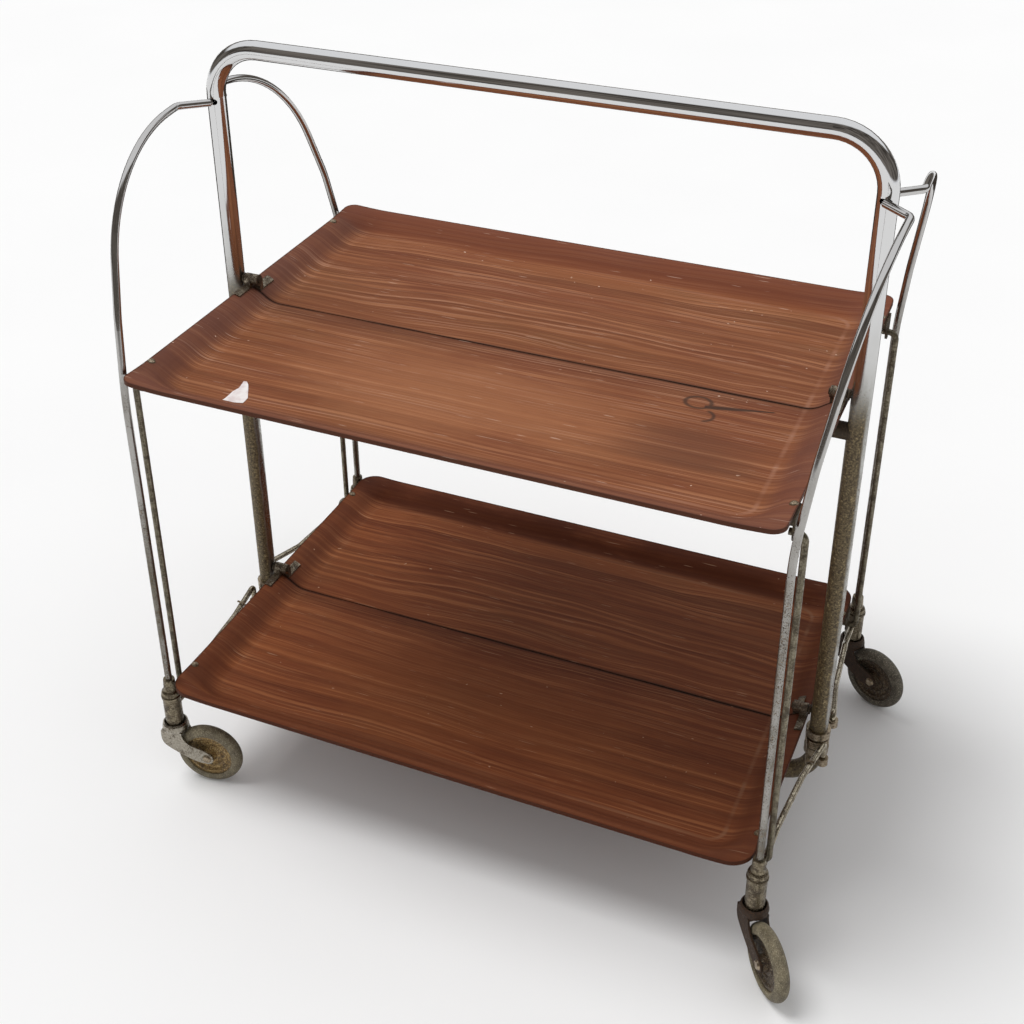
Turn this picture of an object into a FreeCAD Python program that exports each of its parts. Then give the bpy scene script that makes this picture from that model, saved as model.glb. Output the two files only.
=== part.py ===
import FreeCAD, Part
import math
import os

from FreeCAD import Placement, Rotation, Vector

# Folding tea trolley: one loop of tube carries two pairs of hinged tray leaves and four swinging wire legs
# on casters. X runs along the trays, -Y is the front, Z is up, and the floor is z = 0 under the centre.

DIMENSIONS = {
    # frame tube
    "tube_dia": 18.0, "tube_wall": 1.5, "upright_x": 312.0, "handle_z": 721.0, "bottom_z": 46.0,
    "handle_bend": 48.0, "bottom_bend": 36.0, "crossbar_dia": 16.0, "crossbar_gap": 2.0,
    # trays
    "tray_length": 600.0, "tray_width": 430.0, "upper_corner": 12.0, "lower_corner": 22.0,
    "crease_corner": 13.0, "ply": 4.0, "seam_gap": 1.2, "rim_width": 36.8, "rim_bend": 26.0,
    "rim_slope": 35.0, "rim_straight": 9.0, "rim_crown": 32.0, "lip_slope": 7.0, "corner_reach": 17.0,
    "upper_rim_z": 480.0, "lower_rim_z": 125.0,
    # hinges at the uprights
    "hinge_lift": 6.5, "hinge_pin_dia": 6.0, "pin_entry": 6.0, "pin_tail": 1.5, "washer_dia": 10.0,
    "washer_thick": 1.5, "washer_x": 300.5, "knuckle_dia": 11.0, "knuckle_length": 7.0, "knuckle_gap": 0.4,
    "knuckle_x": 299.5, "strap_start": 4.0, "strap_length": 26.0, "strap_thick": 1.6, "tab_end": 6.0,
    "front_tab_foot": 2.4, "rear_tab_foot": 6.1, "running_gap": 0.06,
    # tie rods between an upper and a lower leaf
    "tie_dia": 6.0, "tie_x": 310.0, "tie_y": 180.0, "tie_drop": 26.5, "tie_bend": 7.0, "tie_tip_x": 296.5,
    "ear_width": 14.0, "ear_thick": 1.8, "ear_gap": 0.2, "ear_top": 6.0, "pad_x": 286.0, "pad_low": 10.0,
    "pad_top": 3.0, "rivet_tilt": 14.0, "rivet_y": 170.0, "rivet_margin": 6.0,
    # wire legs
    "leg_dia": 7.0, "leg_pin_dia": 5.0, "leg_pivot_z": 669.0, "pin_start": 1.6, "pin_root": 2.1,
    "stub_gap": 2.0, "slot_gap": 0.3, "gate_swing": 13.5, "leg_x": 306.0, "leg_y": 202.0, "leg_inset": 21.0,
    # arms, collars and springs at the foot of each upright
    "arm_dia": 6.0, "collar_dia": 24.0, "collar_height": 8.0, "collar_gap": 0.1, "rear_collar_z": 104.0,
    "front_collar_z": 83.0, "boss_out": 10.0, "boss_forward": 17.0, "boss_dia": 11.0, "web_width": 7.0,
    "web_relief": 1.5, "arm_root": 1.0, "arm_high_z": 109.0, "spring_wire": 2.2, "spring_turns": 4.0,
    "spring_gap": 0.5, "turn_gap": 0.2, "spring_z": 92.6, "spring_seam": 1.5, "hook_gap": 0.4,
    "hook_side": 5.5, "hook_y": 50.4, "hook_lean": 1.0, "hook_over": 2.0,
    # casters
    "socket_top_z": 128.0, "socket_base_z": 69.0, "stem_dia": 9.0, "stem_top_z": 101.0, "stem_room": 1.0,
    "roof_z": 61.5, "roof_thick": 2.5, "roof_front": 10.0, "back_x": -12.5, "back_depth": 11.0,
    "wheel_dia": 70.0, "trail": 35.0, "axle_dia": 6.0, "axle_head": 1.8, "cheek_gap": 16.6,
    "cheek_thick": 2.0,
}

# outlines of turned parts as (radius, height) or (radius, half width), and wire courses from point to point
SOCKET_OUTLINE = [(8.2, 69.0), (9.2, 70.0), (9.2, 104.0), (10.1, 105.0), (10.1, 107.0), (9.2, 108.0),
                  (9.6, 110.0), (8.8, 112.5), (7.0, 114.5), (6.4, 117.0), (5.8, 127.0), (5.4, 128.0)]
CUP_OUTLINE = [(0.0, 61.5), (10.5, 61.5), (13.0, 64.0), (13.5, 67.0), (12.7, 71.0), (11.1, 73.0),
               (10.5, 72.4), (9.9, 67.0), (0.0, 67.0)]
DISC_OUTLINE = [(7.0, 7.9), (8.5, 3.1), (12.0, 2.5), (13.5, 3.8), (15.0, 2.5), (19.0, 2.5), (21.0, 4.5),
                (25.0, 4.5)]
TYRE_OUTLINE = [(25.0, 6.0), (27.0, 7.0), (30.5, 6.2)]
RIVET_OUTLINE = [(0.0, 1.9), (1.6, 1.7), (3.0, 1.0), (4.0, -0.3), (2.0, -0.3), (2.0, -8.0), (3.0, -8.0),
                 (3.0, -11.0), (0.0, -11.0)]
CHEEK_FRONT = [(10.0, 64.0), (11.5, 56.0), (17.0, 50.0), (26.0, 46.5), (37.5, 41.5)]
CHEEK_TOE = (41.6, 32.8)
CHEEK_BACK = [(33.0, 28.3), (20.0, 30.5), (8.0, 36.0), (-4.0, 42.5), (-11.0, 49.0), (-12.5, 56.0),
              (-12.5, 64.0)]
LEG_COURSE = [(336.0, 31.0, 669.0), (332.0, 141.4, 662.0), (313.0, 187.0, 525.6), (306.0, 202.0, 455.0)]
LEG_BENDS = [9.0, 140.0, 150.0, 200.0]
ARM_COURSE = [(313.0, 70.2, 109.0), (307.5, 140.4, 108.0), (304.5, 162.0, 92.0), (305.0, 194.0, 92.0)]
ARM_BENDS = [5.0, 30.0, 12.0, 12.0]
HOOK_START = (-8.5, -6.4)
HOOK_BENDS = [2.0, 1.5]

SIDES = {"left": -1, "right": 1}
ROWS = {"front": -1, "rear": 1}
TRAYS = ("upper", "lower")
CASTER_HEADING = {("left", "front"): 10.0, ("right", "front"): -50.0, ("right", "rear"): -24.0,
                  ("left", "rear"): 140.0}   # degrees from +X towards which each wheel trails

doc = FreeCAD.newDocument("TeaTrolley")
sheet = doc.addObject("Spreadsheet::Sheet", "Sizes")
for row, (alias, value) in enumerate(DIMENSIONS.items(), start=1):
    sheet.set(f"A{row}", alias)
    sheet.set(f"B{row}", str(value))
    sheet.setAlias(f"B{row}", alias)
doc.recompute()


def size(alias):
    return float(sheet.get(alias))


def bind(obj, **formulas):
    """Tie properties to sheet formulas; a double underscore in a keyword stands for a dot."""
    for prop, formula in formulas.items():
        for alias in sorted(DIMENSIONS, key=len, reverse=True):
            formula = formula.replace(f"@{alias}", f"Sizes.{alias}")
        obj.setExpression(prop.replace("__", "."), formula)
    return obj


def cylinder(name, radius, height, base, direction=Vector(0, 0, 1)):
    """A cylinder bound to the sheet; base is three formulas for its first end."""
    obj = doc.addObject("Part::Cylinder", name)
    obj.Placement = Placement(Vector(), Rotation(Vector(0, 0, 1), direction))
    return bind(obj, Radius=radius, Height=height, Placement__Base__x=base[0],
                Placement__Base__y=base[1], Placement__Base__z=base[2])


def box(name, sizes, corner):
    obj = doc.addObject("Part::Box", name)
    return bind(obj, Length=sizes[0], Width=sizes[1], Height=sizes[2], Placement__Base__x=corner[0],
                Placement__Base__y=corner[1], Placement__Base__z=corner[2])


def fuse(name, parts):
    obj = doc.addObject("Part::MultiFuse", name)
    obj.Shapes = parts
    return obj


def combine(kind, name, base, tool):
    obj = doc.addObject(kind, name)
    obj.Base, obj.Tool = base, tool
    return obj


def cut(name, base, tool):
    return combine("Part::Cut", name, base, tool)


def feature(name, shape, placement=None):
    obj = doc.addObject("Part::Feature", name)
    obj.Shape = shape
    if placement:
        obj.Placement = placement
    return obj


SUBPARTS = []


def subpart(node, obj):
    """Keep an object as a finished sub-part under its node name."""
    obj.Label = node
    SUBPARTS.append(obj)
    return obj


# ---------------------------------------------------------------- rods and wires

def rounded_path(points, radii):
    """Straight runs joined by tangent arcs of the given radius at each inner point."""
    edges, start = [], points[0]
    for before, corner, after, radius in zip(points, points[1:], points[2:], radii):
        into = (corner - before).normalize()
        out = (after - corner).normalize()
        turn = into.getAngle(out)
        reach = radius * math.tan(turn / 2)
        first, last = corner - into * reach, corner + out * reach
        middle_way = (out - into).normalize()
        middle = corner + middle_way * (radius / math.cos(turn / 2) - radius)
        edges += [Part.makeLine(start, first), Part.Arc(first, middle, last).toShape()]
        start = last
    edges.append(Part.makeLine(start, points[-1]))
    return Part.Wire(edges)


def swept_rod(points, radii, diameter):
    path = rounded_path(points, radii)
    heading = points[1] - points[0]
    section = Part.Wire(Part.makeCircle(diameter / 2, points[0], heading))
    return path.makePipeShell([section], True, True)


# ---------------------------------------------------------------- tray rim profile

def rim_profile():
    """Section of the moulded rim, from the floor's edge outwards, as (out, up) points: an upward bend, a
    straight slope, a crown that levels out and a lip wide enough to fill the corners; top and underside."""
    ply, bend, run, crown = size("ply"), size("rim_bend"), size("rim_straight"), size("rim_crown")
    slope, lip = math.radians(size("rim_slope")), math.radians(size("lip_slope"))
    crown_x = bend * math.sin(slope) + run * math.cos(slope) + crown * math.sin(slope)
    crown_z = ply + bend * (1 - math.cos(slope)) + run * math.sin(slope) - crown * math.cos(slope)

    def at_bend(depth, angle):
        return ((bend + depth) * math.sin(angle), ply + bend - (bend + depth) * math.cos(angle))

    def at_crown(depth, angle):
        return (crown_x - (crown - depth) * math.sin(angle), crown_z + (crown - depth) * math.cos(angle))

    def lip_end(depth):
        start, reach = at_crown(depth, lip), size("corner_reach")
        return (start[0] + reach * math.cos(lip), start[1] + reach * math.sin(lip))

    section = {skin: [at_bend(depth, 0), at_bend(depth, slope / 2), at_bend(depth, slope),
                      at_crown(depth, slope), at_crown(depth, (slope + lip) / 2), at_crown(depth, lip),
                      lip_end(depth)]
               for skin, depth in (("top", 0), ("low", ply))}
    section["rivet"] = at_crown(0, math.radians(size("rivet_tilt")))
    level_out, level_up = at_crown(0, lip)
    section["rise"] = level_up + (size("rim_width") - level_out) * math.tan(lip)
    return section


PROFILE = rim_profile()
RIM_UP = PROFILE["rise"]


# ---------------------------------------------------------------- frame tube

def tube_loop(name, diameter, skin):
    """The closed loop: two uprights, the handle on top and the foot tube, with four quarter bends."""
    reach = f"(@upright_x - {{bend}})"
    parts = []
    for label, level, bend, turn in (("Handle", "@handle_z", "@handle_bend", 0),
                                     ("Foot", "@bottom_z", "@bottom_bend", 180)):
        sign = "-" if turn == 0 else "+"
        run = reach.format(bend=bend)
        parts.append(cylinder(f"{name}{label}Run", diameter, f"2 * {run}",
                              (f"-{run}", "0", level), Vector(1, 0, 0)))
        for side, way in SIDES.items():
            torus = doc.addObject("Part::Torus", f"{name}{label}Bend{side}")
            bind(torus, Radius1=bend, Radius2=diameter, Placement__Base__x=f"{way} * {run}",
                 Placement__Base__z=f"{level} {sign} {bend}")
            torus.Angle3 = 90
            start = {(0, 1): 0, (0, -1): 90, (180, -1): 180, (180, 1): 270}[(turn, way)]
            upright_plane = Rotation(Vector(1, 0, 0), 90)
            torus.Placement = Placement(torus.Placement.Base,
                                        upright_plane * Rotation(Vector(0, 0, 1), start))
            parts.append(torus)
    for side, way in SIDES.items():
        parts.append(cylinder(f"{name}Upright{side}", diameter,
                              "@handle_z - @handle_bend - @bottom_z - @bottom_bend",
                              (f"{way} * @upright_x", "0", "@bottom_z + @bottom_bend")))
    return fuse(name + skin, parts)


def leg_slots():
    """Slots in the uprights in which the leg pins swing."""
    tube, gap = size("tube_dia"), size("slot_gap")
    travel = 2 * gap + tube * math.sin(math.radians(size("gate_swing")))
    height = size("leg_pin_dia") + 2 * gap
    shapes = []
    for way in SIDES.values():
        corner = Vector(way * size("upright_x") - travel / 2, -tube, size("leg_pivot_z"))
        slot = Part.makeBox(travel, 2 * tube, height, corner - Vector(0, 0, height / 2))
        for end in (corner, corner + Vector(travel, 0, 0)):
            slot = slot.fuse(Part.makeCylinder(height / 2, 2 * tube, end, Vector(0, 1, 0)))
        shapes.append(slot)
    return feature("LegSlots", Part.makeCompound(shapes))


def hinge_z(tray):
    return f"@{tray}_rim_z + @hinge_lift"


def build_frame():
    outside = tube_loop("Loop", "@tube_dia / 2", "Outside")
    inside = tube_loop("Bore", "@tube_dia / 2 - @tube_wall", "Inside")
    hollow = cut("LoopHollow", outside, inside)
    pins = {}
    start = "@knuckle_x - 2 * @knuckle_length - @knuckle_gap - @pin_tail"
    end = "@upright_x - @pin_entry"
    for tray in TRAYS:
        for side, way in SIDES.items():
            for purpose in ("Hole", "Pin"):
                pins[purpose, tray, side] = cylinder(
                    f"Hinge{purpose}{tray}{side}", "@hinge_pin_dia / 2", f"{end} - ({start})",
                    (start if way > 0 else f"-({end})", "0", hinge_z(tray)), Vector(1, 0, 0))
    holes = [pin for (purpose, _, _), pin in pins.items() if purpose == "Hole"]
    drilled = cut("LoopDrilled", hollow, fuse("PinHoles", holes))
    subpart("frame_loop", cut("FrameLoop", drilled, leg_slots()))

    bar, bar_bore = (cylinder(f"Crossbar{skin}", f"@crossbar_dia / 2 - {wall}", "2 * @upright_x",
                              ("-@upright_x", "0",
                               f"@upper_rim_z - {RIM_UP} - @crossbar_gap - @crossbar_dia / 2"),
                              Vector(1, 0, 0))
                     for skin, wall in (("Outside", "0"), ("Inside", "@tube_wall")))
    hollow_bar = cut("CrossbarHollow", bar, bar_bore)
    uprights = fuse("UprightEnvelopes", [
        cylinder(f"Envelope{side}", "@tube_dia / 2", "@handle_z", (f"{way} * @upright_x", "0", "0"))
        for side, way in SIDES.items()])
    subpart("crossbar", cut("Crossbar", hollow_bar, uprights))

    for tray in TRAYS:
        pieces = []
        for side, way in SIDES.items():
            start = "@washer_x" if way > 0 else "-@washer_x - @washer_thick"
            pieces += [pins["Pin", tray, side],
                       cylinder(f"Washer{tray}{side}", "@washer_dia / 2", "@washer_thick",
                                (start, "0", hinge_z(tray)), Vector(1, 0, 0))]
        subpart(f"hinge_pins_{tray}", fuse(f"HingePins{tray}", pieces))


# ---------------------------------------------------------------- tray leaves

def rim_section(origin, outward):
    """The rim section as a wire standing on origin, facing outward."""
    def place(point):
        return origin + outward * point[0] + Vector(0, 0, point[1])

    top, low = [place(point) for point in PROFILE["top"]], [place(point) for point in PROFILE["low"]]
    edges = []
    for bend_start, bend_mid, bend_end, crown_start, crown_mid, crown_end, lip_end in (top, low):
        edges += [Part.Arc(bend_start, bend_mid, bend_end).toShape(), Part.makeLine(bend_end, crown_start),
                  Part.Arc(crown_start, crown_mid, crown_end).toShape(), Part.makeLine(crown_end, lip_end)]
    edges += [Part.makeLine(top[-1], low[-1]), Part.makeLine(low[0], top[0])]
    return Part.Wire(Part.sortEdges(edges)[0])


def half_outline(row_way, base_z, inset, corner):
    """Outline of a half tray, inset from the tray's edge, from the seam round the two corners."""
    half_x, far_y = size("tray_length") / 2 - inset, size("tray_width") / 2 - inset
    near_y = size("seam_gap") / 2
    slant = corner * math.sqrt(0.5)

    def at(x, y):
        return Vector(x, row_way * y, base_z)

    return [
        Part.makeLine(at(-half_x, near_y), at(-half_x, far_y - corner)),
        Part.Arc(at(-half_x, far_y - corner), at(-half_x + corner - slant, far_y - corner + slant),
                 at(-half_x + corner, far_y)).toShape(),
        Part.makeLine(at(-half_x + corner, far_y), at(half_x - corner, far_y)),
        Part.Arc(at(half_x - corner, far_y), at(half_x - corner + slant, far_y - corner + slant),
                 at(half_x, far_y - corner)).toShape(),
        Part.makeLine(at(half_x, far_y - corner), at(half_x, near_y))]


def half_plate(path, height):
    """The area inside a half tray's outline, as a plate that stands on it."""
    seam = Part.makeLine(path[-1].Vertexes[-1].Point, path[0].Vertexes[0].Point)
    return Part.Face(Part.Wire(path + [seam])).extrude(Vector(0, 0, height))


def leaf_shape(row_way, base_z, corner):
    """A dished half tray: flat floor, rim on three sides, open along the seam, with rounded corners."""
    path = half_outline(row_way, base_z, size("rim_width"), size("crease_corner"))
    section = rim_section(path[0].Vertexes[0].Point, Vector(-1, 0, 0))
    rim = Part.Wire(path).makePipeShell([section], True, False)
    blank = half_plate(path, size("ply")).fuse(rim)
    outside = half_plate(half_outline(row_way, base_z, 0, corner), 2 * RIM_UP)
    return blank.common(outside).removeSplitter()


def build_leaves():
    leaves = {}
    for tray in TRAYS:
        for row, way in ROWS.items():
            shape = leaf_shape(way, size(f"{tray}_rim_z") - RIM_UP, size(f"{tray}_corner"))
            leaves[tray, row] = feature(f"Leaf{tray}{row}", shape)
    return leaves


def hinge_straps(tray, row, leaf):
    """Strap, tab and knuckle at both ends of a leaf; front knuckles sit outboard of the rear ones."""
    name, shift = f"{tray}{row}", "0" if row == "front" else "@knuckle_length + @knuckle_gap"
    raised = feature(f"Raised{name}", leaf.Shape.translated(Vector(0, 0, size("strap_thick"))))
    blocks, solids, bores = [], [], []
    for side, end in SIDES.items():
        outer = f"(@knuckle_x - ({shift}))"
        start = f"{outer} - @knuckle_length" if end > 0 else f"-{outer}"

        def block(kind, near, far, low):
            """A box in the knuckle's width, from near to far off the seam and from low up to the pin."""
            corner_y = near if ROWS[row] > 0 else f"-({far})"
            sizes = ("@knuckle_length", f"{far} - {near}", f"{hinge_z(tray)} - ({low})")
            return box(f"{kind}{name}{side}", sizes, (start, corner_y, low))

        blocks.append(block("Block", "@strap_start", "@strap_length", f"@{tray}_rim_z - {RIM_UP}"))
        solids.append(block("Tab", "@seam_gap / 2", "@tab_end", f"@{tray}_rim_z - @{row}_tab_foot"))
        solids.append(cylinder(f"Knuckle{name}{side}", "@knuckle_dia / 2", "@knuckle_length",
                               (start, "0", hinge_z(tray)), Vector(1, 0, 0)))
        bores.append(cylinder(f"KnuckleBore{name}{side}", "@hinge_pin_dia / 2 + @running_gap",
                              "@knuckle_length", (start, "0", hinge_z(tray)), Vector(1, 0, 0)))
    straps = combine("Part::Common", f"StrapBlanks{name}", raised, fuse(f"StrapBlocks{name}", blocks))
    plates = fuse(f"StrapPlates{name}", [straps] + solids)
    bored = cut(f"StrapsBored{name}", plates, fuse(f"KnuckleBores{name}", bores))
    return cut(f"Straps{name}", bored, leaf)


def tie_ears(tray, row, leaf):
    """Ears that hang from pads under the rim and carry the tie rod ends, and the rivets through the rim."""
    rim_z, edge = size(f"{tray}_rim_z"), size("tray_length") / 2
    pivot_z = rim_z + size("hinge_lift") - size("tie_drop")
    width, thick, way = size("ear_width"), size("ear_thick"), ROWS[row]
    face = edge + size("ear_gap")
    along = Vector(1, 0, 0)
    rivet_out, rivet_up = PROFILE["rivet"]
    blank = turned(RIVET_OUTLINE)
    ears, rivets = [], []
    for end in SIDES.values():
        def slab(near, far, low_y, low_z, high_z):
            """A plate from near to far along the tray, which ends in y where the eye ends."""
            high_y = size("tie_y") + width / 2
            corner = Vector(near if end > 0 else -far, low_y if way > 0 else -high_y, low_z)
            return Part.makeBox(far - near, high_y - low_y, high_z - low_z, corner)

        def disc(radius, near, far):
            centre = Vector(near if end > 0 else -far, way * size("tie_y"), pivot_z)
            return Part.makeCylinder(radius, far - near, centre, along)

        tilt = Rotation(Vector(0, 1, 0), -end * size("rivet_tilt"))
        seat = Vector(end * (edge - size("rim_width") + rivet_out), way * size("rivet_y"),
                      rim_z - RIM_UP + rivet_up)
        rivet = blank.transformed(Placement(seat, tilt).toMatrix(), True)
        ear = slab(face, face + thick, size("tie_y") - width / 2, pivot_z, rim_z - size("ear_top"))
        ear = ear.fuse(disc(width / 2, face, face + thick))
        ear = ear.fuse(slab(size("pad_x"), face + thick, size("rivet_y") - size("rivet_margin"),
                            rim_z - size("pad_low"), rim_z - size("pad_top")))
        ear = ear.cut(disc(size("tie_dia") / 2 + size("running_gap"), face - thick, face + 2 * thick))
        ear = ear.cut(leaf.Shape).cut(rivet)
        ears.append(max(ear.Solids, key=lambda solid: solid.Volume))
        rivets.append(rivet)
    return (feature(f"TieEars{tray}{row}", Part.makeCompound(ears)),
            feature(f"TieRivets{tray}{row}", Part.makeCompound(rivets)))


def build_trays():
    for (tray, row), leaf in build_leaves().items():
        ears, rivets = tie_ears(tray, row, leaf)
        drilled = cut(f"LeafDrilled{tray}{row}", leaf, rivets)
        subpart(f"leaf_{tray}_{row}", drilled)
        subpart(f"hinge_straps_{tray}_{row}", hinge_straps(tray, row, leaf))
        subpart(f"tie_ears_{tray}_{row}", ears)
        subpart(f"tie_rivets_{tray}_{row}", rivets)


def build_tie_rods():
    high = size("upper_rim_z") + size("hinge_lift") - size("tie_drop")
    low = size("lower_rim_z") + size("hinge_lift") - size("tie_drop")
    bend = size("tie_bend")
    for side, end in SIDES.items():
        for row, way in ROWS.items():
            course = [(size("tie_tip_x"), high), (size("tie_x"), high), (size("tie_x"), low),
                      (size("tie_tip_x"), low)]
            points = [Vector(end * x, way * size("tie_y"), z) for x, z in course]
            subpart(f"tie_rod_{row}_{side}",
                    feature(f"TieRod{row}{side}", swept_rod(points, [bend, bend], size("tie_dia"))))


# ---------------------------------------------------------------- wire legs (gates)

def mirrored(course, end, way):
    """Points given for the right rear corner, moved to the corner at the given end and row."""
    return [Vector(end * x, way * y, z) for x, y, z in course]


def leg_shape(end, way):
    """Pin in the upright, stub outboard, wide arc over the tray's end, then straight to the socket."""
    axis_x, pivot_z = size("upright_x"), size("leg_pivot_z")
    face = size("tube_dia") / 2 + size("stub_gap")
    foot_z = size("socket_top_z") - size("leg_inset")
    course = [(axis_x, face, pivot_z)] + LEG_COURSE + [(size("leg_x"), size("leg_y"), foot_z)]
    rod = swept_rod(mirrored(course, end, way), LEG_BENDS, size("leg_dia"))
    start = Vector(end * axis_x, way * size("pin_start"), pivot_z)
    pin = Part.makeCylinder(size("leg_pin_dia") / 2, face + size("pin_root") - size("pin_start"), start,
                            Vector(0, way, 0))
    return rod.fuse(pin).removeSplitter()


def turned(outline):
    """A solid of revolution round Z from (radius, height) points."""
    points = [Vector(radius, 0, height) for radius, height in outline]
    return Part.Face(Part.makePolygon(points + points[:1])).revolve(Vector(), Vector(0, 0, 1), 360)


def socket_shape(end, way):
    """Turned socket: tapered nose round the leg, rolled lip, and a long barrel that takes the stem."""
    base, top = size("socket_base_z"), size("stem_top_z") + size("stem_room")
    outline = [(0, SOCKET_OUTLINE[0][1])] + SOCKET_OUTLINE + [(0, SOCKET_OUTLINE[-1][1])]
    bore = Part.makeCylinder(size("stem_dia") / 2 + size("running_gap"), top - base, Vector(0, 0, base))
    solid = turned(outline).cut(bore)
    solid.translate(Vector(end * size("leg_x"), way * size("leg_y"), 0))
    return solid


def collar_base(way):
    return size("front_collar_z") if way < 0 else size("rear_collar_z")


def arm_root(end, way):
    return Vector(end * (size("upright_x") + size("boss_out")), way * size("boss_forward"), 0)


def collar_shape(end, way):
    """Ring on the upright with the ear that takes the gate's arm."""
    height, width, relief = size("collar_height"), size("web_width"), size("web_relief")
    centre = Vector(end * size("upright_x"), 0, collar_base(way))
    boss_at = arm_root(end, way) + Vector(0, 0, collar_base(way))
    reach = boss_at - centre
    web = Part.makeBox(reach.Length, width, height - 2 * relief, Vector(0, -width / 2, relief))
    web.Placement = Placement(centre, Rotation(Vector(1, 0, 0), reach))
    ring = Part.makeCylinder(size("collar_dia") / 2, height, centre)
    solid = ring.fuse(Part.makeCylinder(size("boss_dia") / 2, height, boss_at)).fuse(web)
    bore = Part.makeCylinder(size("tube_dia") / 2 + size("collar_gap"), height, centre)
    return solid.cut(bore).removeSplitter()


def arm_shape(end, way):
    """Bent wire from the collar's boss along the tray's end, under the tie rod's foot, to the socket."""
    root, collar_z = arm_root(end, way), collar_base(way)
    lift = max(size("arm_high_z"), collar_z + size("collar_height") + size("arm_dia"))
    points = [root + Vector(0, 0, collar_z + size("arm_root")), root + Vector(0, 0, lift)]
    return swept_rod(points + mirrored(ARM_COURSE, end, way), ARM_BENDS, size("arm_dia"))


def spring_shape(end):
    """Coil round the upright between the two collars, with an arm hooked over the front gate's arm."""
    wire, turns, high = size("spring_wire"), int(size("spring_turns")), size("arm_high_z")
    radius = (size("tube_dia") + wire) / 2 + size("spring_gap")
    pitch = wire + size("turn_gap")
    centre = Vector(end * size("upright_x"), 0, size("spring_z"))
    rise = pitch * (turns - 1)
    seam = size("spring_seam")
    coil = Part.makeBox(seam, seam, rise, centre - Vector((end * radius + seam / 2), seam / 2, 0))
    clear = (size("arm_dia") + wire) / 2 + size("hook_gap")
    over = high + clear
    hook_y = size("hook_y")
    over_x, over_y = arm_root(end, -1).x - end * size("hook_over"), -hook_y - size("hook_lean")
    inner_x = arm_root(end, -1).x - end * (clear + size("hook_side"))
    points = [centre + Vector(end * HOOK_START[0], HOOK_START[1], rise), Vector(inner_x, -hook_y, high),
              Vector(inner_x, over_y, over), Vector(over_x, over_y, over)]
    coil = coil.fuse(swept_rod(points, HOOK_BENDS, wire))
    for turn in range(turns):
        coil = coil.fuse(Part.makeTorus(radius, wire / 2, centre + Vector(0, 0, pitch * turn)))
    return coil


def build_gates():
    for side, end in SIDES.items():
        for row, way in ROWS.items():
            leg, socket = leg_shape(end, way), socket_shape(end, way)
            collar, arm = collar_shape(end, way), arm_shape(end, way)
            shapes = {f"leg_{row}_{side}": leg, f"socket_{row}_{side}": socket.cut(leg),
                      f"collar_{row}_{side}": collar.cut(arm), f"arm_{row}_{side}": arm.cut(socket)}
            if row == "front":
                shapes[f"spring_{side}"] = spring_shape(end)
            for node, shape in shapes.items():
                subpart(node, feature(f"Gate_{node}", shape))


# ---------------------------------------------------------------- casters

def fork_shape():
    """Bearing cup with its stem, a roof plate, a back wall and two boot-shaped cheeks; trails along +X."""
    gap, thick, back, low = size("cheek_gap"), size("cheek_thick"), size("back_x"), size("roof_z")
    width, roof_z = gap + 2 * thick, low + size("roof_thick")
    corner = Vector(back, -width / 2, low)
    depth = size("back_depth")
    pieces = [Part.makeCylinder(size("stem_dia") / 2, size("stem_top_z") - roof_z, Vector(0, 0, roof_z)),
              Part.makeBox(size("roof_front") - back, width, size("roof_thick"), corner),
              Part.makeBox(thick, width, depth, corner + Vector(0, 0, size("roof_thick") - depth))]
    for way in (-1, 1):
        y = way * (gap + thick) / 2 - thick / 2
        front, back_edge = ([Vector(x, y, z) for x, z in edge] for edge in (CHEEK_FRONT, CHEEK_BACK))
        curves = []
        for points in (front, back_edge):
            curve = Part.BSplineCurve()
            curve.interpolate(points)
            curves.append(curve.toShape())
        toe = Part.Arc(front[-1], Vector(CHEEK_TOE[0], y, CHEEK_TOE[1]), back_edge[0]).toShape()
        heel = Part.makeLine(back_edge[-1], front[0])
        face = Part.Face(Part.Wire([curves[0], toe, curves[1], heel]))
        pieces.append(face.extrude(Vector(0, thick, 0)))
    solid = turned(CUP_OUTLINE)
    for piece in pieces:
        solid = solid.fuse(piece)
    return solid.removeSplitter()


def wheel_centre():
    return Vector(size("trail"), 0, size("wheel_dia") / 2)


def axle_shape():
    """Riveted axle with a low conical head outside each cheek."""
    radius, head, half = size("axle_dia") / 2, size("axle_head"), size("cheek_gap") / 2 + size("cheek_thick")
    centre = wheel_centre()
    axle = Part.makeCylinder(radius, 2 * half, centre - Vector(0, half, 0), Vector(0, 1, 0))
    for way in (-1, 1):
        axle = axle.fuse(Part.makeCone(radius + head, radius + head / 3, head,
                                       centre + Vector(0, way * half, 0), Vector(0, way, 0)))
    return axle.removeSplitter()


def disc_shape():
    """Wheel disc with a boss and two raised rings on each face."""
    bore, centre = size("axle_dia") / 2 + size("running_gap"), wheel_centre()
    outline = [(bore, DISC_OUTLINE[0][1])] + DISC_OUTLINE
    profile = [centre + Vector(radius, y, 0) for radius, y in outline]
    profile += [centre + Vector(radius, -y, 0) for radius, y in reversed(outline)]
    face = Part.Face(Part.makePolygon(profile + profile[:1]))
    return face.revolve(centre, Vector(0, 1, 0), 360)


def tyre_shape():
    """Solid tyre with a rounded tread."""
    centre = wheel_centre()
    near = [centre + Vector(radius, y, 0) for radius, y in TYRE_OUTLINE]
    far = [centre + Vector(radius, -y, 0) for radius, y in reversed(TYRE_OUTLINE)]
    edges = [Part.makeLine(start, end) for start, end in zip(near, near[1:])]
    edges.append(Part.Arc(near[-1], centre + Vector(size("wheel_dia") / 2, 0, 0), far[0]).toShape())
    edges += [Part.makeLine(start, end) for start, end in zip(far, far[1:] + near[:1])]
    return Part.Face(Part.Wire(edges)).revolve(centre, Vector(0, 1, 0), 360)


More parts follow.
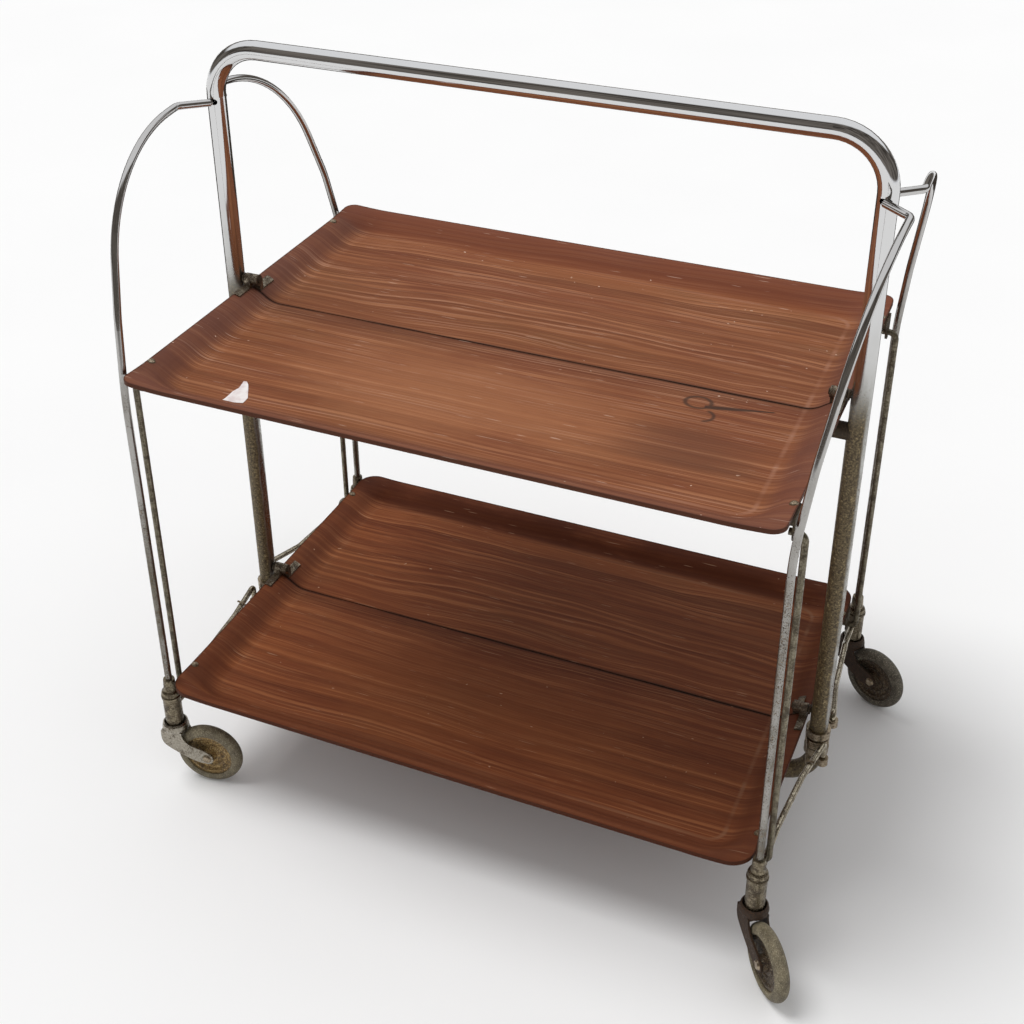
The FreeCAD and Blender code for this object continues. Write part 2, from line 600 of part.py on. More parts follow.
def build_casters():
    axle, fork = axle_shape(), fork_shape()
    shapes = {"fork": fork.cut(axle), "axle": axle, "wheel_disc": disc_shape(), "tyre": tyre_shape()}
    for side, end in SIDES.items():
        for row, way in ROWS.items():
            swivel = Placement(Vector(end * size("leg_x"), way * size("leg_y"), 0),
                               Rotation(Vector(0, 0, 1), CASTER_HEADING[side, row]))
            for kind, shape in shapes.items():
                subpart(f"{kind}_{row}_{side}", feature(f"Caster{kind}{row}{side}", shape, swivel))


# ---------------------------------------------------------------- build, check and write

build_frame()
build_trays()
build_tie_rods()
build_gates()
build_casters()
doc.recompute()

failed = [obj.Label for obj in doc.Objects if {"Invalid", "Error"} & set(obj.State)]
failed += [obj.Label for obj in SUBPARTS if obj.Shape.isNull() or not obj.Shape.isValid()]
if failed:
    raise RuntimeError("failed objects: " + ", ".join(sorted(set(failed))))

os.makedirs("parts", exist_ok=True)
for obj in SUBPARTS:
    obj.Shape.exportStep(f"parts/{obj.Label}.step")
    print(f"{obj.Label:28s} solids {len(obj.Shape.Solids)}  volume {obj.Shape.Volume / 1000:9.2f} cm3")
print(len(SUBPARTS), "sub-parts")
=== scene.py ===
import math

import bmesh
import bpy
from mathutils import Matrix, Vector


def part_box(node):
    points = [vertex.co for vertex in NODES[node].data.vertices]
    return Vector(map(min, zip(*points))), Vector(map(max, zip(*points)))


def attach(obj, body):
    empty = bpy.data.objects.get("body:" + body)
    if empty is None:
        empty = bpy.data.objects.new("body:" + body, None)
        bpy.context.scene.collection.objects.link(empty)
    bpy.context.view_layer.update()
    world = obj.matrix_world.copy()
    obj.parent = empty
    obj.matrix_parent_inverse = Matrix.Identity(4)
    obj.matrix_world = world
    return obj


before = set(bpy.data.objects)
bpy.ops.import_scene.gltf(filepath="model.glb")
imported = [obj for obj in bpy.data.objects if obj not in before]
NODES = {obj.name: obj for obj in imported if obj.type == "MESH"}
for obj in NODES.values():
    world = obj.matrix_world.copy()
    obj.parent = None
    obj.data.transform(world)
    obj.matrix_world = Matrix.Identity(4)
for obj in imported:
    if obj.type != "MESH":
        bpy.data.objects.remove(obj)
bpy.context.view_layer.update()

SIDES = ("left", "right")
ROWS = ("front", "rear")
MM = 0.001


# ---------------------------------------------------------------- camera

CAMERA_PLACE = Vector((0.4810, -1.1514, 1.1432))
CAMERA_AZIMUTH, CAMERA_PITCH, CAMERA_ROLL = 23.58, 30.79, -0.469    # degrees
LENS, SENSOR = 53.49, 36.0                                          # millimetres
SHIFT_X, SHIFT_Y = 0.0074, -0.0971
CLIP_END = 60


def place_camera():
    azimuth, pitch, roll = (math.radians(angle) for angle in (CAMERA_AZIMUTH, CAMERA_PITCH, CAMERA_ROLL))
    forward = Vector((-math.sin(azimuth) * math.cos(pitch), math.cos(azimuth) * math.cos(pitch),
                      -math.sin(pitch)))
    level = Vector((math.cos(azimuth), math.sin(azimuth), 0))
    upward = level.cross(forward)
    right = level * math.cos(roll) + upward * math.sin(roll)
    up = upward * math.cos(roll) - level * math.sin(roll)
    turned = Matrix((right, up, -forward)).transposed().to_4x4()
    camera = bpy.data.objects.new("camera", bpy.data.cameras.new("camera"))
    bpy.context.scene.collection.objects.link(camera)
    camera.matrix_world = Matrix.Translation(CAMERA_PLACE) @ turned
    camera.data.lens, camera.data.sensor_width = LENS, SENSOR
    camera.data.shift_x, camera.data.shift_y = SHIFT_X, SHIFT_Y
    camera.data.clip_end = CLIP_END
    bpy.context.scene.camera = camera


# ---------------------------------------------------------------- node helpers

MIX_FACTOR, MIX_FIRST, MIX_SECOND, MIX_RESULT = 0, 6, 7, 2          # a Mix node's sockets for colours


class Tree:
    """Short names for the nodes that the materials are made of."""

    def __init__(self, tree):
        self.tree = tree

    def add(self, kind, inputs=(), **settings):
        """A new node; inputs maps a socket's name or number to a value or to another node's output."""
        node = self.tree.nodes.new("ShaderNode" + kind)
        for key, value in settings.items():
            setattr(node, key, value)
        for key, value in dict(inputs).items():
            if isinstance(value, bpy.types.NodeSocket):
                self.tree.links.new(value, node.inputs[key])
            else:
                node.inputs[key].default_value = value
        return node.outputs

    def place(self):
        """Where a point lies in the object's own coordinates, which are the shared frame's at rest."""
        return self.add("TexCoord")["Object"]

    def normal(self):
        return self.add("TexCoord")["Normal"]

    def part(self, vector, axis):
        return self.add("SeparateXYZ", {0: vector})[axis]

    def math(self, operation, first, second=0.0, third=0.0):
        return self.add("Math", {0: first, 1: second, 2: third}, operation=operation)[0]

    def times(self, first, second):
        return self.math("MULTIPLY", first, second)

    def away(self, value, middle):
        """How far a value is from a middle one."""
        return self.math("ABSOLUTE", self.math("SUBTRACT", value, middle))

    def swing(self, noise, depth):
        """Noise of 0 to 1 as one that swings about 0."""
        return self.times(self.math("SUBTRACT", noise, 0.5), depth)

    def smooth(self, value, low, high, start=0.0, end=1.0):
        """Goes from start to end in a smooth step while value goes from low to high."""
        return self.add("MapRange", {"Value": value, "From Min": low, "From Max": high, "To Min": start,
                                     "To Max": end}, interpolation_type="SMOOTHSTEP")[0]

    def scaled(self, vector, scale, shift=(0, 0, 0)):
        return self.add("Mapping", {"Vector": vector, "Scale": scale, "Location": shift})[0]

    def noise(self, vector, scale=1.0, detail=2.0, rough=0.5):
        return self.add("TexNoise", {"Vector": vector, "Scale": scale, "Detail": detail, "Roughness": rough})[0]

    def noise_line(self, value, scale, detail=2.0, rough=0.5):
        """Noise along one number."""
        return self.add("TexNoise", {"W": value, "Scale": scale, "Detail": detail, "Roughness": rough},
                        noise_dimensions="1D")[0]

    def mix(self, factor, first, second):
        inputs = {MIX_FACTOR: factor, MIX_FIRST: first, MIX_SECOND: second}
        return self.add("Mix", inputs, data_type="RGBA", blend_type="MIX")[MIX_RESULT]

    def ramp(self, factor, stops):
        """A colour ramp; stops are (position, colour)."""
        out = self.add("ValToRGB", {"Fac": factor})
        elements = out[0].node.color_ramp.elements
        for _ in stops[2:]:
            elements.new(0.5)
        for element, (position, colour) in zip(elements, stops):
            element.position, element.color = position, colour
        return out[0]

    def bump(self, height, distance, strength):
        return self.add("Bump", {"Height": height, "Distance": distance, "Strength": strength})[0]


def srgb(red, green, blue):
    """A colour given as 0 to 255 on screen, as Blender's linear one."""
    def linear(value):
        value /= 255
        return value / 12.92 if value <= 0.04045 else ((value + 0.055) / 1.055) ** 2.4
    return (linear(red), linear(green), linear(blue), 1.0)


def grey(level):
    return (level, level, level, 1.0)


def new_material(name):
    material = bpy.data.materials.new(name)
    material.use_nodes = True
    shader = material.node_tree.nodes["Principled BSDF"]
    return material, Tree(material.node_tree), shader


def connect(tree, shader, **sockets):
    """Links or sets the shader's sockets; an underscore in a keyword stands for a space."""
    for key, value in sockets.items():
        socket = shader.inputs[key.replace("_", " ")]
        if isinstance(value, bpy.types.NodeSocket):
            tree.tree.links.new(value, socket)
        else:
            socket.default_value = value


# ---------------------------------------------------------------- wood

# the trays in metres: where the floor starts to bend up, the outer edge and the radius of its corners
FLOOR_HALF_X, FLOOR_HALF_Y, FLOOR_CORNER = 0.2632, 0.1782, 0.0130
EDGE_HALF_X, EDGE_HALF_Y = 0.300, 0.215
UPPER_CORNER, LOWER_CORNER = 0.012, 0.022
PLY = 0.004
GRAIN_TURNS_UP = (FLOOR_HALF_Y - 0.004, FLOOR_HALF_Y + 0.006)
LEFT_END_RIM = (0.005 - FLOOR_HALF_X, -FLOOR_HALF_X)

# noise scales per metre, along the grain and across it, and those across the growth rings
BEND_SCALE, PATCH_SCALE, BREAK_SCALE = (3.0, 6.5, 1.0), (6.0, 13.0, 1.0), (8.0, 50.0, 1.0)
FIBRE_SCALE, PORE_SCALE = (11.0, 620.0, 1.0), (40.0, 1900.0, 1.0)
GROWTH_SCALE, BROAD_SCALE, HAIR_SCALE = 104.0, 34.0, 250.0
WAVE_UPPER, WAVE_LOWER, WAVE_REAR = 0.016, 0.034, 0.085             # how far the rings wander, in metres
REAR_VENEER, REAR_GROWTH, REAR_BROAD, REAR_HAIR = 5.3, 3.7, 9.1, 6.2    # where the rear leaf reads noises

# where a layer shows: the noise or place it starts and ends at, and its share at both
RED_CLOUDS, OLIVE_CLOUDS = (0.42, 0.68, 0.0, 0.65), (0.46, 0.28, 0.0, 0.45)
LATE_WOOD, FIBRES, PORES = (0.52, 0.34, 0.0, 0.55), (0.44, 0.70, 0.0, 0.38), (0.40, 0.24, 0.0, 0.45)
PALE_LEVEL, PALE_LINE, PALE_BREAKS, PALE_AT_END = 0.60, (0.0, 0.075, 1.0, 0.0), (0.36, 0.62, 0.24, 0.85), 1.6
HAIR_LEVEL, HAIR_LINE, HAIR_BREAKS, HAIR_AT_END = 0.50, (0.004, 0.034, 1.0, 0.0), (0.40, 0.64, 0.08, 0.48), 1.7
FADED_MIDDLE, FADED_SIZE = Vector((-0.020, -0.095, 0)), (0.200, 0.085)
CREASE_MIDDLE, CREASE_LINE, CREASE_BREAKS = 0.0025, (0.0002, 0.0034, 1.0, 0.0), (0.34, 0.66, 0.10, 0.70)
CREASE_END = (-0.05, 0.20)
CORNER_OUTWARD, CORNER_X = (0.002, 0.024), (FLOOR_HALF_X - 0.03, FLOOR_HALF_X + 0.014)
CORNER_DARK_CLOUDS = (0.38, 0.66, 0.05, 0.55)
RIM_OUTWARD, REAR_RIM_Y = (0.003, 0.020), (FLOOR_HALF_Y, FLOOR_HALF_Y + 0.010)
LIP_LINE = (-0.0016, -0.0003, 0.0, 0.62)
SEAM_LINE, SEAM_BREAKS = (0.0007, 0.0030, 1.0, 0.0), (0.30, 0.60, 0.35, 0.95)
CHIP_SCALE, CHIP_SHIFT, CHIPS = (150.0, 210.0, 150.0), (0.3, 0.1, 0.0), (0.775, 0.81)
RUBBED_SCALE, RUBBED_SHIFT, RUBBED = (7.0, 9.0, 7.0), (2.0, 1.0, 0.0), (0.48, 0.62, 0.0, 0.9)
SCRATCH_SCALE, SCRATCH_SHIFT, SCRATCHES = (34.0, 620.0, 34.0), (1.7, 0.4, 0.0), (0.79, 0.84, 0.0, 0.35)
SHADOW_MIDDLE, SHADOW_SIZE = Vector((0.195, -0.100, 0)), (0.075, 0.050)
UNDERSIDE_DARK = 0.45

# the print of a pair of scissors, in metres
STAIN_RING, STAIN_RING_SIZE = Vector((0.1760, -0.0258, 0)), (0.0118, 0.0098)
STAIN_HOOK, STAIN_HOOK_RADIUS = Vector((0.1868, -0.0462, 0)), 0.0088
STAIN_BLADE_START, STAIN_BLADE_END = Vector((0.184, -0.0312, 0)), Vector((0.244, -0.0172, 0))
STAIN_LINE, STAIN_BLADE_HALF, STAIN_SHARE = 0.0012, 0.0030, 0.88


def outline_distance(tree, x, y, half_x, half_y, corner):
    """Distance outwards from a rectangle with rounded corners, negative inside it."""
    reach_x = tree.math("SUBTRACT", tree.math("ABSOLUTE", x), half_x - corner)
    reach_y = tree.math("SUBTRACT", tree.math("ABSOLUTE", y), half_y - corner)
    out_x, out_y = tree.math("MAXIMUM", reach_x, 0.0), tree.math("MAXIMUM", reach_y, 0.0)
    outer = tree.math("SQRT", tree.math("ADD", tree.times(out_x, out_x), tree.times(out_y, out_y)))
    inner = tree.math("MINIMUM", tree.math("MAXIMUM", reach_x, reach_y), 0.0)
    return tree.math("SUBTRACT", tree.math("ADD", outer, inner), corner)


def distance_from(tree, place, centre, stretch=(1, 1)):
    """Distance in the tray's plane from a centre, in units of the stretch."""
    moved = tree.add("VectorMath", {0: place, 1: centre}, operation="SUBTRACT")["Vector"]
    flat = tree.add("VectorMath", {0: moved, 1: (1 / stretch[0], 1 / stretch[1], 0)}, operation="MULTIPLY")
    return tree.add("VectorMath", {0: flat["Vector"]}, operation="LENGTH")["Value"]


class Board:
    """Places on a tray and the noises along its grain, which the layers of the wood's colour share."""

    def __init__(self, tree, floor_z, wave_front, edge_corner):
        self.tree = tree
        self.place = tree.place()
        self.x, self.y, z = tree.add("SeparateXYZ", {0: self.place})
        self.top_side = tree.smooth(tree.part(tree.normal(), "Z"), -0.05, 0.05)
        self.outward = outline_distance(tree, self.x, self.y, FLOOR_HALF_X, FLOOR_HALF_Y, FLOOR_CORNER)
        self.from_edge = outline_distance(tree, self.x, self.y, EDGE_HALF_X, EDGE_HALF_Y, edge_corner)
        rise = tree.times(tree.math("SUBTRACT", z, floor_z),
                          tree.smooth(tree.math("ABSOLUTE", self.y), *GRAIN_TURNS_UP))
        across = tree.math("ADD", self.y, tree.times(tree.math("SIGN", self.y), rise))

        # each leaf has its own veneer, so the rear one reads the noises from another place
        rear = tree.math("GREATER_THAN", self.y, 0.0)
        flat = tree.add("CombineXYZ", {0: self.x, 1: across, 2: tree.times(rear, REAR_VENEER)})["Vector"]
        bend = tree.noise(tree.scaled(flat, BEND_SCALE), detail=2.0, rough=0.45)
        depth = tree.math("MULTIPLY_ADD", rear, WAVE_REAR - wave_front, wave_front)
        ring = tree.math("ADD", across, tree.swing(bend, depth))
        growth_place, broad_place, hair_place = (
            tree.math("MULTIPLY_ADD", rear, shift, ring) for shift in (REAR_GROWTH, REAR_BROAD, REAR_HAIR))
        self.growth = tree.noise_line(growth_place, GROWTH_SCALE, detail=3.0, rough=0.62)
        self.broad = tree.noise_line(broad_place, BROAD_SCALE, detail=2.0)
        self.hair = tree.noise_line(hair_place, HAIR_SCALE, detail=1.0)
        self.fibre = tree.noise(tree.scaled(flat, FIBRE_SCALE), detail=3.0, rough=0.6)
        self.pore = tree.noise(tree.scaled(flat, PORE_SCALE), detail=1.0)
        self.patch = tree.noise(tree.scaled(flat, PATCH_SCALE), detail=4.0, rough=0.6)
        self.breaks = tree.noise(tree.scaled(flat, BREAK_SCALE), detail=2.0)

    def lines(self, noise, level, line, breaks, at_end):
        """Lines where a noise passes a level, broken along their length and stronger on the left rim."""
        drawn = self.tree.smooth(self.tree.away(noise, level), *line)
        drawn = self.tree.times(drawn, self.tree.smooth(self.breaks, *breaks))
        return self.tree.times(drawn, self.tree.smooth(self.x, *LEFT_END_RIM, 1.0, at_end))

    def spot(self, middle, size, ragged):
        """Distance from a spot's middle in units of its size, with a ragged edge."""
        return self.tree.math("ADD", distance_from(self.tree, self.place, middle, size),
                              self.tree.swing(self.patch, ragged))


def veneer(tree, board, colours):
    """Broad bands, red and olive clouds, late wood, the sun's fading, pale lines, fibres and pores."""
    colour = tree.ramp(board.broad, [(0.30, colours["dark"]), (0.48, colours["base"]), (0.72, colours["warm"])])
    colour = tree.mix(tree.smooth(board.patch, *RED_CLOUDS), colour, colours["red"])
    colour = tree.mix(tree.smooth(board.patch, *OLIVE_CLOUDS), colour, colours["olive"])
    colour = tree.mix(tree.smooth(board.growth, *LATE_WOOD), colour, colours["dark"])
    faded = tree.smooth(board.spot(FADED_MIDDLE, FADED_SIZE, 0.9), 0.35, 1.10, colours["faded_depth"], 0.0)
    colour = tree.mix(tree.times(faded, board.top_side), colour, colours["faded"])
    pale = board.lines(board.growth, PALE_LEVEL, PALE_LINE, PALE_BREAKS, PALE_AT_END)
    colour = tree.mix(pale, colour, colours["pale"])
    hairs = board.lines(board.hair, HAIR_LEVEL, HAIR_LINE, HAIR_BREAKS, HAIR_AT_END)
    colour = tree.mix(hairs, colour, colours["hair"])
    colour = tree.mix(tree.smooth(board.fibre, *FIBRES), colour, colours["pale"])
    return tree.mix(tree.smooth(board.pore, *PORES), colour, colours["dark"])


def rims_and_seam(tree, board, colours, colour):
    """Pale wear in the crease, most of it at one end, darker clouds near the corners, dark rims, lips and seam,
    and painted shade on the rear rim.
    """
    crease = tree.smooth(tree.away(board.outward, CREASE_MIDDLE), *CREASE_LINE)
    crease = tree.times(crease, tree.smooth(board.breaks, *CREASE_BREAKS))
    crease = tree.times(crease, tree.math("MULTIPLY_ADD", tree.smooth(board.x, *CREASE_END), 0.75, 0.20))
    colour = tree.mix(tree.times(crease, board.top_side), colour, colours["wear"])
    # darker clouds near the tray's corners and up its end rims
    smudge = tree.noise(tree.scaled(board.place, (16.0, 16.0, 16.0)), detail=4.0, rough=0.6)
    corner = tree.times(tree.smooth(board.outward, *CORNER_OUTWARD),
                        tree.smooth(tree.math("ABSOLUTE", board.x), *CORNER_X))
    colour = tree.mix(tree.times(corner, tree.smooth(smudge, *CORNER_DARK_CLOUDS)), colour, colours["grime"])
    colour = tree.mix(tree.smooth(board.outward, *RIM_OUTWARD, 0.0, colours["rim_depth"]), colour,
                      colours["rim"])
    # painted shade: the rear rim takes the darker, redder rear colour in clouds, standing in for the shade that
    # falls on it
    behind = tree.times(tree.smooth(board.y, *REAR_RIM_Y),
                        tree.smooth(board.patch, 0.66, 0.44, 0.25, colours["rear_rim_shade_depth"]))
    colour = tree.mix(behind, colour, colours["rear"])
    colour = tree.mix(tree.smooth(board.from_edge, *LIP_LINE), colour, colours["lip"])
    seam = tree.smooth(tree.math("ABSOLUTE", board.y), *SEAM_LINE)
    return tree.mix(tree.times(seam, tree.smooth(board.breaks, *SEAM_BREAKS)), colour, colours["lip"])


def small_knocks(tree, board):
    """Whitish chips where the tray was rubbed most, and short scratches along the grain."""
    chips = tree.smooth(tree.noise(tree.scaled(board.place, CHIP_SCALE, CHIP_SHIFT), detail=1.0), *CHIPS)
    rubbed = tree.noise(tree.scaled(board.place, RUBBED_SCALE, RUBBED_SHIFT), detail=1.0)
    scratch = tree.noise(tree.scaled(board.place, SCRATCH_SCALE, SCRATCH_SHIFT), detail=0.0)
    return tree.times(chips, tree.smooth(rubbed, *RUBBED)), tree.smooth(scratch, *SCRATCHES)


def scissors_stain(tree, board):
    """The faint grey print of a pair of scissors on the front leaf: a ring, a hook and a tapered blade."""
    def drawn(away):
        return tree.smooth(away, STAIN_LINE * 0.3, STAIN_LINE * 2.4, 0.85, 0.0)

    ring = tree.away(distance_from(tree, board.place, STAIN_RING, STAIN_RING_SIZE), 1.0)
    ring = drawn(tree.times(ring, STAIN_RING_SIZE[1]))
    hook = drawn(tree.away(distance_from(tree, board.place, STAIN_HOOK), STAIN_HOOK_RADIUS))
    hook = tree.times(hook, tree.smooth(board.x, STAIN_HOOK.x - 0.001, STAIN_HOOK.x + 0.003))
    run = STAIN_BLADE_END - STAIN_BLADE_START
    middle = tree.math("MULTIPLY_ADD", tree.math("SUBTRACT", board.x, STAIN_BLADE_START.x), run.y / run.x,
                       STAIN_BLADE_START.y)
    taper = tree.smooth(board.x, STAIN_BLADE_START.x + 0.010, STAIN_BLADE_END.x, 1.0, 0.30)
    away = tree.math("DIVIDE", tree.away(board.y, middle), taper)
    blade = tree.smooth(away, STAIN_BLADE_HALF * 0.45, STAIN_BLADE_HALF * 1.55, 1.0, 0.0)
    ends = tree.times(tree.smooth(board.x, STAIN_BLADE_START.x - 0.002, STAIN_BLADE_START.x),
                      tree.smooth(board.x, STAIN_BLADE_END.x - 0.003, STAIN_BLADE_END.x, 1.0, 0.0))
    return tree.math("MAXIMUM", tree.math("MAXIMUM", ring, hook), tree.times(blade, ends))


def wood(name, floor_z, colours, wave_front, edge_corner):
    """Varnished veneer with its grain along X, which runs on up the rims."""
    material, tree, shader = new_material(name)
    board = Board(tree, floor_z, wave_front, edge_corner)
    colour = rims_and_seam(tree, board, colours, veneer(tree, board, colours))
    chips, scratch = small_knocks(tree, board)
    colour = tree.mix(chips, colour, colours["chip"])
    colour = tree.mix(scratch, colour, colours["chip"])
    if "stain" in colours:
        stain = tree.times(scissors_stain(tree, board), STAIN_SHARE)
        colour = tree.mix(tree.times(stain, board.top_side), colour, colours["stain"])
        shadow = tree.smooth(board.spot(SHADOW_MIDDLE, SHADOW_SIZE, 1.6), 0.25, 1.15, 0.50, 0.0)
        colour = tree.mix(tree.times(shadow, board.top_side), colour, colours["shadow_patch"])

    # the underside was never in the sun
    below = tree.math("MULTIPLY_ADD", board.top_side, -UNDERSIDE_DARK, UNDERSIDE_DARK)
    colour = tree.mix(below, colour, colours["dark"])

    height = tree.math("ADD", tree.times(board.growth, 0.6), tree.times(board.fibre, 0.7))
    height = tree.math("SUBTRACT", height, tree.times(chips, 0.9))
    roughness = tree.math("MULTIPLY_ADD", board.fibre, 0.20, colours["rough"])
    roughness = tree.math("ADD", roughness, tree.swing(board.patch, 0.22))
    connect(tree, shader, Base_Color=colour, Roughness=roughness, Specular_IOR_Level=colours["gloss"],
            Normal=tree.bump(height, distance=0.22 * MM, strength=0.7))
    return material


# in both trays the rear colour and its depth are painted shade on the rear rim
WOOD_UPPER = {
    "base": srgb(126, 73, 44), "warm": srgb(146, 88, 54), "dark": srgb(102, 57, 36), "red": srgb(118, 63, 42),
    "olive": srgb(120, 78, 46), "pale": srgb(166, 110, 74), "wear": srgb(160, 112, 88),
    "grime": srgb(78, 52, 46), "rim": srgb(110, 68, 56), "rim_depth": 0.60, "rear": srgb(118, 58, 32),
    "rear_rim_shade_depth": 0.45, "lip": srgb(46, 30, 24), "chip": srgb(222, 190, 168), "stain": srgb(62, 46, 38),
    "shadow_patch": srgb(96, 60, 44), "faded": srgb(158, 102, 68), "faded_depth": 0.62,
    "hair": srgb(184, 136, 108), "rough": 0.44, "gloss": 0.10}
WOOD_LOWER = {
    "base": srgb(116, 62, 36), "warm": srgb(138, 79, 45), "dark": srgb(86, 44, 27), "red": srgb(104, 52, 31),
    "olive": srgb(114, 71, 42), "pale": srgb(152, 94, 58), "wear": srgb(140, 98, 72),
    "grime": srgb(72, 48, 38), "rim": srgb(104, 56, 36), "rim_depth": 0.55, "rear": srgb(70, 32, 18),
    "rear_rim_shade_depth": 0.80, "lip": srgb(42, 26, 19), "chip": srgb(188, 148, 118), "faded": srgb(136, 76, 42),
    "faded_depth": 0.55, "hair": srgb(150, 98, 66), "rough": 0.38, "gloss": 0.07}


# ---------------------------------------------------------------- metal

PIT_SIZE, FRECKLE_SIZE = 1.1 * MM, 2.2 * MM
PIT_THRESHOLD, PIT_EDGE = 0.76, 0.05
RUST = [(0.32, srgb(44, 32, 22)), (0.52, srgb(92, 70, 44)), (0.70, srgb(138, 112, 72))]
FRECKLES = [(0.34, srgb(52, 42, 28)), (0.47, srgb(92, 78, 54)), (0.57, srgb(118, 102, 70)),
            (0.68, srgb(176, 158, 116))]
RUSTED_BELOW, RUST_FADES = 0.455, 0.500                             # heights in metres
RUST_METALLIC, RUST_ROUGH = 0.25, 0.46
# painted reflection: the way the tubes' greyer side faces, where rust is left off
GREY_REFLECTION_SIDE = Vector((0.92, 0.40, 0.0))


def chrome(name, age_low, age_high, film_and_reflection_colour, pit_share, tint=grey(0.66), rough=0.07):
    """Polished plate, clean above age_high and towards age_low pitted by rust and darkened by a film that is
    partly dirt and partly a painted dark reflection.
    """
    material, tree, shader = new_material(name)
    place = tree.place()
    cloud = tree.noise(place, scale=22.0, detail=3.0, rough=0.6)
    wander = tree.noise(tree.scaled(place, (60.0, 60.0, 9.0)), detail=3.0, rough=0.6)
    age = tree.times(tree.smooth(tree.part(place, "Z"), age_high, age_low),
                     tree.smooth(cloud, 0.30, 0.62, 0.65, 1.0))
    pits = tree.noise(place, scale=1 / PIT_SIZE, detail=3.0, rough=0.7)
    threshold = tree.math("MULTIPLY_ADD", age, -pit_share, PIT_THRESHOLD)
    pits = tree.smooth(tree.math("SUBTRACT", pits, threshold), 0.0, PIT_EDGE)
    # painted dark reflection: towards the bottom the film darkens the tint, partly as dirt and partly standing
    # in for the dark reflection of the shade under the trolley
    film_and_reflection = tree.times(age, tree.smooth(wander, 0.34, 0.64, 0.60, 0.95))
    colour = tree.mix(film_and_reflection, tint, film_and_reflection_colour)
    colour = tree.mix(pits, colour, tree.ramp(tree.noise(place, scale=420.0, detail=2.0), RUST))
    metallic = tree.math("SUBTRACT", 1.0, tree.times(pits, 0.9))
    roughness = tree.math("MULTIPLY_ADD", film_and_reflection, 0.30, rough)
    roughness = tree.math("ADD", roughness, tree.times(pits, 0.45))
    height = tree.math("ADD", tree.times(pits, -1.0), tree.times(wander, 0.25))
    connect(tree, shader, Base_Color=colour, Metallic=metallic, Roughness=roughness,
            Normal=tree.bump(height, distance=0.12 * MM, strength=0.55))
    return material, tree, shader


def rusted_tube():
    """The frame: clean chrome above, and below the upper tray freckled olive rust, except on one side, where
    greyer bare chrome is a painted reflection.
    """
    material, tree, shader = chrome("chrome_tube", age_low=0.42, age_high=0.62,
                                    film_and_reflection_colour=srgb(126, 124, 114), pit_share=0.22)
    place = tree.place()
    # painted reflection: rust is left off the tubes' side that faces right and back, so that greyer chrome
    # there stands in for a reflection
    side = tree.add("VectorMath", {0: tree.normal(), 1: GREY_REFLECTION_SIDE}, operation="DOT_PRODUCT")["Value"]
    cloud = tree.noise(place, scale=30.0, detail=3.0, rough=0.6)
    ragged = tree.math("MULTIPLY_ADD", cloud, 0.5, tree.math("SUBTRACT", side, 0.25))
    cover = tree.times(tree.smooth(tree.part(place, "Z"), RUST_FADES, RUSTED_BELOW),
                       tree.smooth(ragged, 0.62, 0.34))
    rust = tree.ramp(tree.noise(place, scale=1 / FRECKLE_SIZE, detail=4.0, rough=0.72), FRECKLES)

    def clean(socket):
        return shader.inputs[socket].links[0].from_socket

    def toward(socket, value):
        """The clean chrome's value, moved to another one where rust covers it."""
        before = clean(socket)
        return tree.math("MULTIPLY_ADD", cover, tree.math("SUBTRACT", value, before), before)

    connect(tree, shader, Base_Color=tree.mix(cover, clean("Base Color"), rust),
            Metallic=toward("Metallic", RUST_METALLIC), Roughness=toward("Roughness", RUST_ROUGH))
    return material


def worn_steel(name, bright, dull, dirt, dirt_level, rough):
    """Dull plated steel with brown dirt in clouds and specks; dirt_level 0 is clean and 1 covered."""
    material, tree, shader = new_material(name)
    place = tree.place()
    cloud = tree.noise(place, scale=110.0, detail=4.0, rough=0.65)
    fine = tree.noise(place, scale=900.0, detail=3.0, rough=0.75)
    tone = tree.noise(place, scale=420.0, detail=3.0, rough=0.7)
    colour = tree.mix(tree.smooth(tone, 0.34, 0.66), dull, bright)
    covered = tree.smooth(tree.math("ADD", tree.times(cloud, 0.65), tree.times(fine, 0.80)),
                          0.86 - 0.36 * dirt_level, 0.98 - 0.36 * dirt_level)
    grime = tree.mix(tree.smooth(fine, 0.36, 0.64), srgb(34, 27, 21), dirt)
    colour = tree.mix(covered, colour, grime)
    metallic = tree.math("SUBTRACT", 1.0, tree.times(covered, 0.85))
    roughness = tree.math("MULTIPLY_ADD", covered, 0.36, rough)
    height = tree.math("ADD", tree.times(covered, 0.5), tree.times(fine, 0.7))
    connect(tree, shader, Base_Color=colour, Metallic=metallic, Roughness=roughness,
            Normal=tree.bump(height, distance=0.16 * MM, strength=0.6))
    return material


# bright, dull, dirt, dirt_level and rough of each worn steel
STEELS = {
    "pitted_rod": (srgb(140, 133, 116), srgb(108, 101, 84), srgb(86, 74, 54), 0.45, 0.34),
    "dirty_steel": (srgb(122, 112, 92), srgb(86, 76, 60), srgb(84, 68, 46), 0.80, 0.34),
    "hinge_steel": (srgb(170, 160, 142), srgb(118, 106, 88), srgb(84, 68, 50), 0.60, 0.34),
    "socket_steel": (srgb(142, 132, 112), srgb(108, 99, 81), srgb(86, 70, 48), 0.46, 0.24),
    "bright_rod": (srgb(188, 179, 160), srgb(140, 130, 110), srgb(90, 74, 52), 0.34, 0.24),
    "fork_steel": (srgb(166, 160, 148), srgb(142, 136, 124), srgb(108, 93, 71), 0.32, 0.26),
    "rusty_fork_steel": (srgb(112, 98, 80), srgb(66, 54, 42), srgb(78, 54, 34), 0.95, 0.34),
    "rivet_steel": (srgb(182, 168, 146), srgb(136, 120, 98), srgb(96, 78, 54), 0.36, 0.30)}


# ---------------------------------------------------------------- wheels

